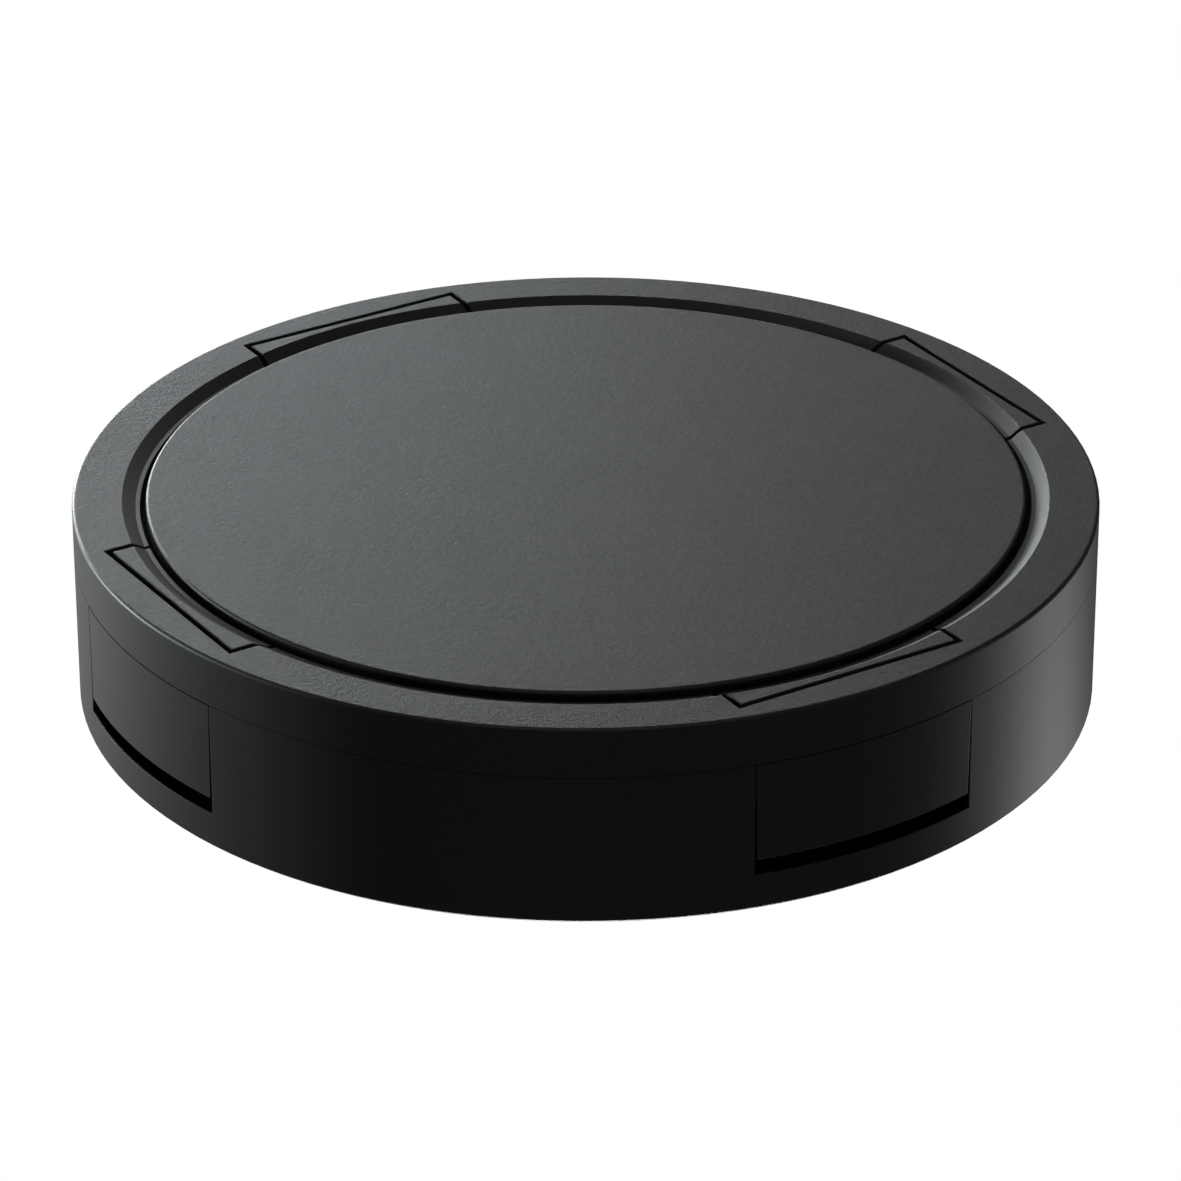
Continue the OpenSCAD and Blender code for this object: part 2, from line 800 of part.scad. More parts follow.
module pan_walls() {
    // Wheel wells with their roofs and the ears that carry the arms' pins
    for (side = [-1, 1])
        mirror_x(side) {
            difference() {
                union() {
                    difference() {
                        well_box(well_t, [floor_z - EPS, well_roof_z + well_t]);
                        well_box(0, [pan_z, well_roof_z]);
                    }
                    for (x = [arm_in_x - 0.5 - ear_t, arm_out_x + 0.5])
                        block([x, x + ear_t], [arm_pivot_y - 6, arm_pivot_y + 10 + EPS],
                            [floor_z - 1, arm_pivot_z + 6]);
                }
                rod_x(arm_pin_d / 2 + 0.01, [arm_in_x - 0.5 - ear_t, arm_out_x + 0.5 + ear_t],
                    arm_pivot_y, arm_pivot_z);
            }
            translate([(arm_in_x + arm_out_x) / 2, arm_spring_y, 0])
                disc(2.6, well_roof_z - 3, well_roof_z + EPS);
        }
    // Caster cup
    translate([0, caster_y, 0]) {
        ring(caster_cup_r, caster_cup_r + caster_cup_t, pan_z, caster_cup_top + 2);
        ring(caster_stem_d / 2 + swivel_fit, caster_cup_r + 1, caster_cup_top, caster_cup_top + 2);
        ring(caster_stem_d / 2 + swivel_fit, caster_stem_d / 2 + 3.5, caster_cup_top, caster_cup_top + 9);
    }
    // Battery bay
    difference() {
        block([-battery_l / 2 - 2.2, battery_l / 2 + 2.2],
            [battery_y - battery_w / 2 - 2.2, battery_y + battery_w / 2 + 2.2],
            [pan_z + 2.1, floor_z + battery_h + 2.5]);
        block([-battery_l / 2 - 0.6, battery_l / 2 + 0.6],
            [battery_y - battery_w / 2 - 0.6, battery_y + battery_w / 2 + 0.6],
            [pan_z, floor_z + battery_h + 0.9]);
    }
    for (x = cover_screw_x)
        translate([x, cover_screw_y, 0])
            difference() {
                disc(3.4, pan_z + 2.1, floor_z + 10);
                disc(screw_d / 2, pan_z, floor_z + 8);
            }
    // Posts below the main board
    for (p = board_post_at)
        translate([p[0], p[1], 0])
            difference() {
                disc(board_post_d / 2, floor_z - EPS, board_z);
                disc(1.25, board_z - 8, board_z + 1);
            }
    // Side walls of the dust bin's well, with the way through to the filter
    for (x = [bin_x0 - bin_gap - well_t, bin_x1 + bin_gap])
        difference() {
            intersection() {
                block([x, x + well_t], [-body_r, bin_front + 1], [floor_z - EPS, deck_z - 6.3]);
                disc(tub_r - 1, 0, body_h);
            }
            block([bin_x1 - 1, body_r], [filter_y0, filter_y1], [filter_z0, body_h]);
        }
}

module float_lug() {
    difference() {
        union() {
            translate([float_r, 0, 0])
                disc(lug_r, lug_z, lug_z + lug_t);
            block([tub_r - 1, float_r], [-gusset_at - 1, gusset_at + 1], [lug_z, lug_z + lug_t]);
            for (t = [-gusset_at, gusset_at])
                plate_xz(2, t)
                    polygon([[tub_r - 1, lug_z + EPS], [float_r, lug_z + EPS],
                        [tub_r - 1, lug_z - 14]]);
        }
        translate([float_r, 0, 0])
            disc(lug_hole_r, lug_z - 20, lug_z + lug_t + 1);
    }
}

module chassis_pan() color(inner_black) {
    difference() {
        union() {
            disc(pan_r, pan_z, floor_z);
            difference() {
                ring(tub_in_r, tub_r, floor_z - EPS, deck_z);
                exhaust_port();
            }
        }
        pan_floor_openings();
        // Scallops that leave the shell's screws free to move and to be reached
        for (a = shell_boss_angles)
            rotate([0, 0, a])
                translate([shell_boss_r, 0, 0])
                    disc(shell_boss_d / 2 + float_travel + run_gap, pan_z - 1, floor_z + 1);
    }
    pan_walls();
    for (a = float_angles)
        rotate([0, 0, a])
            float_lug();
}

module exhaust_port() {
    block([fan_x, body_r], [fan_y - fan_case_r + 1.6, fan_y - fan_case_r + 14.4], [fan_z0 + 4, fan_z0 + 20]);
}

module top_deck() color(inner_black) {
    difference() {
        union() {
            disc(tub_r, deck_z, deck_top_z);
            // Collar round the dust bin
            intersection() {
                linear_extrude_at(deck_z - 6, deck_z + EPS)
                    bin_outline(-bin_gap - well_t);
                disc(tub_in_r - 0.5, 0, body_h);
            }
            block([bin_x0, bin_x1], [bin_front + bin_gap, bin_front + bin_gap + well_t],
                [brush_z + tunnel_r + tunnel_t + 0.5, deck_z]);
            for (p = base_screw_at)
                translate([p[0], p[1], 0])
                    disc(base_boss_d / 2, floor_z, deck_z + EPS);
            ring(60, 61.6, deck_top_z - EPS, deck_top_z + 0.8);
        }
        linear_extrude_at(0, body_h)
            bin_outline(-bin_gap);
        for (p = base_screw_at)
            translate([p[0], p[1], 0])
                disc(screw_d / 2, 0, floor_z + 18);
        translate([key_x, key_y, 0])
            disc(key_d / 2 + 0.2, 0, body_h);
    }
}

module linear_extrude_at(z_low, z_high) {
    translate([0, 0, z_low])
        linear_extrude(z_high - z_low)
            children();
}

module base_screws() color(steel) {
    for (p = base_screw_at)
        translate([p[0], p[1], 0])
            screw_up(pan_z + 1, 16);
    for (x = cover_screw_x)
        translate([x, cover_screw_y, 0])
            screw_up(pan_z + 1, 8, 5);
}

module float_rings() color(rubber_black) {
    for (a = float_angles)
        rotate([0, 0, a])
            translate([float_r, 0, 0])
                ring(float_post_d / 2 + 0.05, lug_hole_r - 0.05, lug_z, lug_z + lug_t);
}

// Light gates at the front, with a slot for the wall's blade
module bump_sensors() color(part_grey) {
    for (a = blade_angles) {
        x = wall_in_r * cos(a);
        y = wall_in_r * sin(a) - sensor_back;
        difference() {
            block([x - 4.6, x + 4.6], [y, y + 9], [floor_z, floor_z + 17]);
            block([x - sensor_gap / 2, x + sensor_gap / 2], [y - 1, y + 10], [floor_z + 5, floor_z + 18]);
        }
    }
}

module cliff_sensors() color(part_grey) {
    for (a = cliff_angles)
        rotate([0, 0, a])
            difference() {
                block([cliff_r - 3.8, cliff_r + 3.8], [-6.8, 6.8], [pan_z + 0.3, floor_z + 7]);
                for (t = [-3.4, 3.4])
                    translate([cliff_r, t, 0])
                        disc(2.2, pan_z, pan_z + 2);
            }
}

module charge_contacts() color(copper) {
    for (side = [-1, 1])
        block([side * contact_x - 8.8, side * contact_x + 8.8], [contact_y - 4.3, contact_y + 4.3],
            [pan_z - 0.5, pan_z + 0.6]);
}

// ---- Main brush

module brush_housing() color(part_grey) {
    outer = tunnel_r + tunnel_t;
    left = -tunnel_half - gear_case_w;
    right = tunnel_half + tunnel_t;
    difference() {
        union() {
            block([left, right], [brush_y - outer, brush_y + outer], [pan_z, brush_z]);
            intersection() {
                rod_x(outer, [left, right], brush_y, brush_z);
                block([left, right], [brush_y - outer, brush_y + outer], [brush_z - EPS, body_h]);
            }
            block([left, left + 6], [brush_y - 9, brush_y + 9], [brush_z, brush_motor_z + 9]);
            block([mouth_x - bin_mouth_w / 2 - 1.6, mouth_x + bin_mouth_w / 2 + 1.6],
                [bin_front + 2, brush_y], [mouth_z0 - 1.6, mouth_z1 + 1.6]);
        }
        rod_x(tunnel_r, [-tunnel_half, tunnel_half], brush_y, brush_z);
        block([-tunnel_half, tunnel_half], [brush_y - tunnel_r, brush_y + tunnel_r], [pan_z - 1, brush_z]);
        block([mouth_x - bin_mouth_w / 2, mouth_x + bin_mouth_w / 2], [bin_front, brush_y],
            [mouth_z0, mouth_z1]);
        rod_x(brush_shaft_d / 2 + 0.05, [left + 1.2, right - 0.6], brush_y, brush_z);
    }
}

module brush_motor() color(steel) {
    left = -tunnel_half - 1.5;
    rod_x(10.5, [left, left + 44], brush_y, brush_motor_z);
    rod_x(4, [left + 44 - EPS, left + 47], brush_y, brush_motor_z);
}

module brush_guard() color(part_grey) {
    outer = tunnel_r + tunnel_t;
    difference() {
        block([-tunnel_half - guard_rim, tunnel_half + guard_rim], [brush_y - outer - 3, brush_y + outer + 3],
            [pan_z - guard_t, pan_z]);
        block([-tunnel_half + 1, tunnel_half - 1],
            [brush_y - tunnel_r + guard_edge, brush_y + tunnel_r - guard_edge], [0, pan_z + 1]);
    }
    for (x = guard_bars)
        block([x - guard_bar_w / 2, x + guard_bar_w / 2],
            [brush_y - tunnel_r + EPS, brush_y + tunnel_r - EPS], [pan_z - guard_t, pan_z]);
    // Finger tabs that free the guard
    for (x = guard_tabs)
        block([x - 7, x + 7], [brush_y + outer + 2, brush_y + outer + 7], [pan_z - guard_t, pan_z]);
}

module brush_core() color(part_grey) {
    rod_x(core_r, [-brush_l / 2, brush_l / 2], brush_y, brush_z);
    rod_x(brush_shaft_d / 2, [-tunnel_half - 5, tunnel_half + 0.9], brush_y, brush_z);
}

// Thin helical blades between the guard's bars
module helical_blades(count, first, t) {
    for (i = [0:len(brush_ends) - 2]) {
        x0 = brush_ends[i] + (i > 0 ? vane_gap / 2 : 0);
        x1 = brush_ends[i + 1] - (i < len(brush_ends) - 2 ? vane_gap / 2 : 0);
        translate([x0, brush_y, brush_z])
            rotate([0, 90, 0])
                linear_extrude(x1 - x0, twist = -brush_twist * (x1 - x0) / brush_l, slices = 6, $fn = 4)
                    for (k = [0:count - 1])
                        rotate(first + 360 * k / count + brush_twist * x0 / brush_l)
                            translate([core_r + 0.02, -t / 2])
                                square([brush_r - core_r - 0.02, t]);
    }
}

module brush_vanes() color(rubber_black)
    helical_blades(3, 0, 1.8);

module brush_tufts() color([0.3, 0.32, 0.36])
    helical_blades(3, 60, 2.4);

module inlet_seal() color(rubber_black) {
    difference() {
        block([mouth_x - bin_mouth_w / 2 - 1.6, mouth_x + bin_mouth_w / 2 + 1.6],
            [bin_front + 0.3, bin_front + 2], [mouth_z0 - 1.6, mouth_z1 + 1.6]);
        block([mouth_x - bin_mouth_w / 2, mouth_x + bin_mouth_w / 2], [bin_front, bin_front + 3],
            [mouth_z0, mouth_z1]);
    }
}

// ---- Side brush

module side_brush_motor() color(part_grey)
    translate([side_brush_x, side_brush_y, 0])
        difference() {
            union() {
                disc(side_motor_r + 1.5, floor_z, floor_z + 2);
                disc(side_motor_r, floor_z + 2 - EPS, floor_z + 14);
                disc(8, floor_z + 14 - EPS, floor_z + 32);
            }
            disc(2.5 + 0.05, floor_z - 1, floor_z + 12);
        }

module side_brush_hub() color(part_grey)
    translate([side_brush_x, side_brush_y, 0]) {
        disc(side_hub_r, pan_z - 4.5, floor_z - 1);
        disc(2.5, floor_z - 1 - EPS, floor_z + 11);
        for (a = [0:120:240])
            rotate([0, 0, a + 20])
                block([side_hub_r - 2, side_hub_r + 8], [-2.5, 2.5], [pan_z - 4.5, pan_z - 1.5]);
    }

module side_brush_bristles() color([0.25, 0.25, 0.27])
    translate([side_brush_x, side_brush_y, 0])
        for (a = [0:120:240])
            rotate([0, 0, a + 20])
                translate([0, 3, 0])
                    rotate([90, 0, 0])
                        linear_extrude(6)
                            polygon([[side_hub_r + 8, pan_z - 1.8], [side_brush_reach, 3],
                                [side_brush_reach, 1], [side_hub_r + 8, pan_z - 4.4]]);

// ---- Fan

module fan_housing() color(part_grey)
    difference() {
        union() {
            translate([fan_x, fan_y, 0])
                disc(fan_case_r, fan_z0, fan_z1);
            block([fan_x, exhaust_end_x], [fan_y - fan_case_r, fan_y - fan_case_r + 16],
                [fan_z0 + 2.4, fan_z0 + 21.6]);
            for (a = [60, 180, 300])
                translate([fan_x, fan_y, 0])
                    rotate([0, 0, a])
                        translate([fan_case_r - 4, 0, 0])
                            disc(3, floor_z, fan_z0 + EPS);
        }
        translate([fan_x, fan_y, 0]) {
            disc(fan_case_r - fan_wall, fan_z0 + fan_wall, fan_z1 - fan_wall);
            disc(fan_eye_r, fan_z0 + 10, fan_z1 + 1);
        }
        block([fan_x, exhaust_end_x + 1], [fan_y - fan_case_r + 1.6, fan_y - fan_case_r + 14.4],
            [fan_z0 + 4, fan_z0 + 20]);
    }

module fan_motor() color(steel)
    translate([fan_x, fan_y, 0]) {
        disc(11, fan_z0 + fan_wall, fan_z0 + 13);
        disc(1.5, fan_z0 + 13 - EPS, fan_z1 - fan_wall - 3);
    }

module fan_impeller() color(part_grey)
    translate([fan_x, fan_y, 0])
        difference() {
            union() {
                disc(impeller_r, fan_z0 + 14, fan_z0 + 15.2);
                disc(4, fan_z0 + 15, fan_z1 - fan_wall - 4);
                for (k = [0:8])
                    rotate([0, 0, 40 * k])
                        intersection() {
                            translate([impeller_r / 2 + 4, -impeller_r / 2, 0])
                                ring(impeller_r - 5.6, impeller_r - 4.4, fan_z0 + 15,
                                    fan_z1 - fan_wall - 1.5);
                            difference() {
                                disc(impeller_r - 0.5, 0, body_h);
                                disc(8, 0, body_h);
                                block([-body_r, body_r], [-body_r, 0], [0, body_h]);
                            }
                        }
            }
            disc(1.5 + 0.05, 0, body_h);
        }

module duct_outline(inset) {
    polygon([[bin_x1 + 3 + inset / 4, -108 + inset], [80, -108 + inset], [98 - inset, -94],
        [98 - inset, -64 - inset], [bin_x1 + 3 + inset / 4, -64 - inset]]);
}

module fan_duct() color(part_grey)
    difference() {
        linear_extrude_at(fan_z1, deck_z - 0.5)
            duct_outline(0);
        linear_extrude_at(fan_z1 + 1.6, deck_z - 2.1)
            duct_outline(1.6);
        block([0, bin_x1 + 8], [filter_y0, filter_y1], [filter_z0, filter_z1]);
        translate([fan_x, fan_y, 0])
            disc(fan_eye_r, 0, fan_z1 + 3);
    }

// ---- Battery and board

module battery_pack() color([0.2, 0.3, 0.5]) {
    block([-battery_l / 2, battery_l / 2], [battery_y - battery_w / 2, battery_y + battery_w / 2],
        [pan_z + 2.3, pan_z + 2.3 + battery_h]);
}

module battery_cover() color(inner_black) {
    difference() {
        block([-battery_l / 2 - cover_margin, battery_l / 2 + cover_margin],
            [battery_y - battery_w / 2 - cover_margin, battery_y + battery_w / 2 + cover_margin],
            [pan_z, pan_z + 2]);
        for (x = cover_screw_x)
            translate([x, cover_screw_y, 0]) {
                disc(screw_d / 2 + 0.2, 0, body_h);
                disc(2.8, 0, pan_z + 1);
            }
        for (i = [-3:3])
            block([-12, 12], [battery_y + i * 2.4 - 0.6, battery_y + i * 2.4 + 0.6], [0, pan_z + 0.6]);
    }
}

module main_board() color([0.1, 0.3, 0.2]) {
    difference() {
        block([-board_w / 2, board_w / 2], [board_y0, board_y1], [board_z, board_z + board_t]);
        for (p = board_post_at)
            translate([p[0], p[1], 0])
                disc(1.6, 0, body_h);
    }
}

module board_parts() color([0.08, 0.08, 0.09]) {
    top = board_z + board_t;
    block([-20, -2], [50, 68], [top, top + 1.6]);
    block([-46, -34], [60, 72], [top, top + 1.4]);
    for (i = [0:5])
        block([-54 + 15 * i, -43 + 15 * i], [82, 88], [top, top + 6]);
    for (i = [0:2])
        translate([-30 + 12 * i, 36, 0])
            disc(4, top, top + 9);
    // Switch below the power key
    block([key_x - 3, key_x + 3], [key_y - 3, key_y + 3], [top, top + 2.5]);
    translate([key_x, key_y, 0])
        disc(1.7, top + 2.5 - EPS, top + 3);
}

module power_key() color([0.3, 0.3, 0.31])
    translate([key_x, key_y, 0]) {
        disc(key_d / 2, deck_z - 1.3, deck_top_z + 2);
        disc(key_d / 2 + 1.2, deck_z - 1.3, deck_z - 0.3);
        disc(2, board_z + board_t + 3 + key_travel + 0.2, deck_z - 1);
    }

// ---- Dust bin

module dust_bin() color([0.25, 0.25, 0.27]) {
    difference() {
        linear_extrude_at(bin_z, bin_top - cover_t)
            bin_outline(0);
        linear_extrude_at(bin_z + bin_wall, bin_top)
            bin_outline(bin_wall);
        block([mouth_x - bin_mouth_w / 2, mouth_x + bin_mouth_w / 2], [bin_front - 5, bin_front + 5],
            [mouth_z0, mouth_z1]);
        block([bin_x1 - 5, bin_x1 + 5], [filter_y0, filter_y1], [filter_z0, filter_z1]);
    }
}

module bin_cover() color(inner_black) {
    difference() {
        union() {
            linear_extrude_at(bin_top - cover_t, bin_top)
                bin_outline(0);
            linear_extrude_at(bin_top - cover_t - 3, bin_top - cover_t + EPS)
                difference() {
                    bin_outline(bin_wall + 0.15);
                    bin_outline(bin_wall + 1.8);
                }
        }
        block([bin_x1 - 12, bin_x1], [filter_y0 - 3, filter_y1 + 3], [0, bin_top - cover_t]);
    }
    for (side = [-1, 1])
        difference() {
            block([handle_x + side * handle_half - 1.5, handle_x + side * handle_half + 1.5],
                [handle_y - 3, handle_y + 3], [bin_top - EPS, handle_z + 2.4]);
            rod_x(handle_pin_r + 0.05, [-body_r, body_r], handle_y, handle_z);
        }
}

// Bail that lies flat on the cover, with a pin at the foot of each arm
module bin_handle() color(part_grey) {
    arm = handle_half - 2;
    for (side = [-1, 1]) {
        x = handle_x + side * (arm - 1.5);
        block([x - 1.5, x + 1.5], [handle_y - handle_l, handle_y],
            [handle_z - handle_t / 2, handle_z + handle_t / 2]);
        rod_x(handle_t / 2, [x - 1.5, x + 1.5], handle_y, handle_z);
        rod_x(handle_pin_r, side > 0 ? [handle_x + arm - EPS, handle_x + handle_half + 1.5]
            : [handle_x - handle_half - 1.5, handle_x - arm + EPS], handle_y, handle_z);
    }
    block([handle_x - arm, handle_x + arm], [handle_y - handle_l - 6, handle_y - handle_l],
        [handle_z - handle_t / 2, handle_z + handle_t / 2]);
}

module bin_filter() color([0.85, 0.85, 0.82]) {
    x0 = bin_x1 - bin_wall - 7;
    x1 = bin_x1 - bin_wall;
    pleats = 9;
    step = (filter_y1 - filter_y0) / pleats;
    difference() {
        block([x0, x1], [filter_y0 - 2, filter_y1 + 2], [filter_z0 - 2, filter_z1 + 2]);
        block([x0 - 1, x1 + 1], [filter_y0, filter_y1], [filter_z0, filter_z1]);
    }
    linear_extrude_at(filter_z0 - EPS, filter_z1 + EPS)
        for (i = [0:pleats - 1]) {
            y = filter_y0 + i * step;
            polygon([[x0 + 1, y], [x1 - 1, y + step / 2 - 0.3], [x1 - 1, y + step / 2 + 0.3],
                [x0 + 1, y + step], [x0 + 0.2, y + step], [x1 - 1.6, y + step / 2], [x0 + 0.2, y]]);
        }
}

// ---- Drive wheels

module wheel_arm() {
    dy = arm_pivot_y;
    dz = arm_pivot_z - wheel_z;
    reach = norm([dy, dz]);
    tilt = atan2(dz, dy);
    difference() {
        union() {
            rod_x(arm_case_r, [arm_in_x, arm_out_x], 0, wheel_z);
            rod_x(7.5, [arm_in_x, arm_out_x], dy, arm_pivot_z);
            rod_x(11, [arm_in_x, arm_out_x], 22, wheel_z + 6);
            translate([arm_in_x, 0, wheel_z])
                rotate([tilt, 0, 0])
                    translate([0, 0, -7.4])
                        cube([arm_out_x - arm_in_x, reach, 14.8]);
            translate([(arm_in_x + arm_out_x) / 2, arm_spring_y, 0])
                disc(3, wheel_z, wheel_z + arm_case_r + 3);
        }
        rod_x(arm_pin_d / 2 + 0.05, [0, body_r], dy, arm_pivot_z);
        rod_x(axle_d / 2 + 0.05, [arm_in_x + 4, body_r], 0, wheel_z);
    }
}

module wheel_hub() {
    x0 = wheel_x - tyre_w / 2;
    x1 = wheel_x + tyre_w / 2;
    web_x = x0 + tyre_w / 2;
    difference() {
        union() {
            difference() {
                rod_x(hub_r, [x0, x1], 0, wheel_z);
                rod_x(hub_r - 3, [web_x, x1 + 1], 0, wheel_z);
                rod_x(hub_r - 3, [x0 - 1, web_x - 3], 0, wheel_z);
            }
            rod_x(axle_d / 2 + 3.5, [x0 + 1, x1 - 1], 0, wheel_z);
            for (a = [0:60:300])
                translate([0, 0, wheel_z])
                    rotate([a, 0, 0])
                        block([web_x - EPS, x1 - 2], [-1.2, 1.2], [axle_d / 2 + 2, hub_r - 2]);
        }
        rod_x(axle_d / 2 + 0.01, [0, body_r], 0, wheel_z);
    }
}

module tyre() {
    x0 = wheel_x - tyre_w / 2;
    x1 = wheel_x + tyre_w / 2;
    lugs = 24;
    difference() {
        union() {
            rod_x(wheel_d / 2 - 1.2, [x0, x1], 0, wheel_z);
            intersection() {
                rod_x(wheel_d / 2, [x0, x1], 0, wheel_z);
                for (i = [0:lugs - 1])
                    translate([0, 0, wheel_z])
                        rotate([360 * i / lugs, 0, 0])
                            block([x0, x1], [-2, 2], [wheel_d / 2 - 3, wheel_d / 2 + 1]);
            }
        }
        rod_x(hub_r, [x0 - 1, x1 + 1], 0, wheel_z);
    }
}

module axle()
    rod_x(axle_d / 2, [arm_in_x + 5, wheel_x + tyre_w / 2 - 1], 0, wheel_z);

module arm_pins() color(steel)
    for (side = [-1, 1])
        mirror_x(side)
            rod_x(arm_pin_d / 2, [arm_in_x - 0.5 - ear_t, arm_out_x + 0.5 + ear_t], arm_pivot_y, arm_pivot_z);

// Compression spring with a vertical axis
module coil_spring(r, wire_r, z_low, z_high, turns) {
    per_turn = 14;
    steps = turns * per_turn;
    rise = (z_high - z_low - 2 * wire_r) / steps;
    points = [for (i = [0:steps])
        [r * cos(i * 360 / per_turn), r * sin(i * 360 / per_turn), z_low + wire_r + rise * i]];
    wire(points, wire_r, [0, 0, 1]);
}

module arm_spring(side) color(steel)
    mirror_x(side)
        translate([(arm_in_x + arm_out_x) / 2, arm_spring_y, 0])
            coil_spring(4.2, 0.6, wheel_z + arm_case_r + 0.2, well_roof_z - 0.2, 7);

// ---- Caster

module caster_fork() color(part_grey)
    translate([0, caster_y, 0])
        difference() {
            union() {
                disc(fork_r, fork_low_z, fork_top_z);
                disc(caster_stem_d / 2, fork_top_z - EPS, caster_cup_top + 9);
                disc(caster_stem_d / 2 + 2, caster_cup_top + 9.3, caster_cup_top + 10.5);
                disc(caster_stem_d / 2 - 1, caster_cup_top + 9 - EPS, caster_cup_top + 9.4);
            }
            block([-caster_w / 2 - 0.8, caster_w / 2 + 0.8], [-fork_r - 1, fork_r + 1],
                [0, caster_d + 1.2]);
            rod_x(caster_pin_d / 2 + 0.01, [-fork_r + 3, fork_r - 3], -caster_trail, caster_z);
        }

module caster_pin() color(steel)
    rod_x(caster_pin_d / 2, [-fork_r + 3, fork_r - 3], caster_y - caster_trail, caster_z);

module caster_wheel() color(rubber_black)
    translate([0, caster_y - caster_trail, caster_z])
        rotate([0, 90, 0])
            rotate_extrude()
                polygon(concat([[caster_pin_d / 2 + swivel_fit, -caster_w / 2]],
                    corner([caster_z - 1.5, -caster_w / 2 + 1.5], 1.5, -90, 0, 4),
                    corner([caster_z - 1.5, caster_w / 2 - 1.5], 1.5, 0, 90, 4),
                    [[caster_pin_d / 2 + swivel_fit, caster_w / 2]]));

// ---- Nodes

chassis_pan();
top_deck();
brush_housing();
brush_guard();
brush_motor();
side_brush_motor();
battery_pack();
battery_cover();
main_board();
board_parts();
fan_housing();
fan_duct();
fan_motor();
inlet_seal();
float_rings();
bump_sensors();
cliff_sensors();
charge_contacts();
arm_pins();
arm_spring(-1);  // arm_spring_left
arm_spring(1);  // arm_spring_right
base_screws();
side_wall();
rim_ring();
shell_screws();
float_screws();
latch_pins();
latch_springs();
latch(latch_angles[0]);  // latch_right
latch(latch_angles[1]);  // latch_front
latch(latch_angles[2]);  // latch_left
latch(latch_angles[3]);  // latch_back
magnet(latch_angles[0]);  // magnet_right
magnet(latch_angles[1]);  // magnet_front
magnet(latch_angles[2]);  // magnet_left
magnet(latch_angles[3]);  // magnet_back
lid();
lid_strikers();
dust_bin();
bin_cover();
bin_filter();
bin_handle();
color(part_grey) mirror_x(-1) wheel_arm();  // wheel_arm_left
color(part_grey) wheel_arm();  // wheel_arm_right
color(part_grey) mirror_x(-1) wheel_hub();  // wheel_hub_left
color(part_grey) wheel_hub();  // wheel_hub_right
color(rubber_black) mirror_x(-1) tyre();  // tyre_left
color(rubber_black) tyre();  // tyre_right
color(steel) mirror_x(-1) axle();  // axle_left
color(steel) axle();  // axle_right
caster_fork();
caster_wheel();
caster_pin();
brush_core();
brush_vanes();
brush_tufts();
side_brush_hub();
side_brush_bristles();
fan_impeller();
power_key();
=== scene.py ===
import json
import math
import random

import bmesh
import bpy
from mathutils import Matrix, Vector


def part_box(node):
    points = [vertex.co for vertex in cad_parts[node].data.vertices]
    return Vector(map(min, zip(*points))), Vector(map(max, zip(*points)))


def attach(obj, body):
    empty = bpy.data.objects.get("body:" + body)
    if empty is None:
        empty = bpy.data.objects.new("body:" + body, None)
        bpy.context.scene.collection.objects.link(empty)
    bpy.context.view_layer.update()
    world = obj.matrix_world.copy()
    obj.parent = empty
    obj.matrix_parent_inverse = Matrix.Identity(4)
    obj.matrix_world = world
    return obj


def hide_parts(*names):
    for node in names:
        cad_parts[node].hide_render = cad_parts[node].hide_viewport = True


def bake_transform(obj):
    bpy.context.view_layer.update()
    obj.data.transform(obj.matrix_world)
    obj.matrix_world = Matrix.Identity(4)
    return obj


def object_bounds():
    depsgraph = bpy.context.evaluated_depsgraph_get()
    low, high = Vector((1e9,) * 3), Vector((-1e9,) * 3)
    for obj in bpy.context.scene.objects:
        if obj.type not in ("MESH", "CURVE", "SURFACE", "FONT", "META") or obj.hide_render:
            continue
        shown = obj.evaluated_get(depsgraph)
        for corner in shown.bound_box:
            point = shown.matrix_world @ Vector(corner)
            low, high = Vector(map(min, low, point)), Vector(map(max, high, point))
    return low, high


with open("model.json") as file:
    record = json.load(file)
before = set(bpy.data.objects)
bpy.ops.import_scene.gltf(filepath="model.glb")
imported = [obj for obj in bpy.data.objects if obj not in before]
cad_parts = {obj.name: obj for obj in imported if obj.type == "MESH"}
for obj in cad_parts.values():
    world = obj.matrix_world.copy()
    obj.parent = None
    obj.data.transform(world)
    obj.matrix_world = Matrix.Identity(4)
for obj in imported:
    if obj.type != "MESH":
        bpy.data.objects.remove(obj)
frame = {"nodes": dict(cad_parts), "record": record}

CAD_LOW, CAD_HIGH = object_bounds()
NODES = frame["nodes"]
BODY_OF = {n: b for b, names in frame["record"]["behaviour"]["bodies"].items() for n in names}

# Places on the object, from the frame. All lengths are metres.
BODY_R = CAD_HIGH[0]
TOP_Z = CAD_HIGH[2]
BOTTOM_Z, SEAM_Z = (corner[2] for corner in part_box("side_wall"))
LID_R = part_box("lid")[1][0]

# Painted shade: the walls of the gap round the lid are painted black between these radii and below
# this height, where the gap's own shade falls.
GAP_IN_R = LID_R - 0.0003
GAP_OUT_R = LID_R + 0.002
GAP_FADE_Z = (TOP_Z - 0.0017, TOP_Z - 0.0008)

# Finish of the shell: full grain on the flat top and a share of it lower down. The edges are
# slightly rounded, and painted lighter as wear and as a painted highlight, but not at the seam.
GRAIN_FADE_Z = (TOP_Z - 0.0005, TOP_Z - 0.0001)
WALL_GRAIN = 0.08
SEAM_CLEAR = (0.0006, 0.001)
EDGE_R = 0.0003
# How much lighter the edges are painted, as wear and as a painted highlight.
WEAR_AND_HIGHLIGHT_GAIN = 2.2
# Colour of the shade painted on the walls of the gap round the lid.
GAP_PAINTED_SHADE = (0.002, 0.002, 0.002)

# Moulded plastic: the scale of its three noises, the depth of its grain on the shell and on
# the other parts, and how far its roughness swings at a mottle of 1.
CLOUD_SCALE, FLECK_SCALE, FINE_SCALE = 30, 520, 2600
SHELL_GRAIN_DEPTH, GRAIN_DEPTH = 0.0002, 0.00005
ROUGHNESS_SWING = 0.07

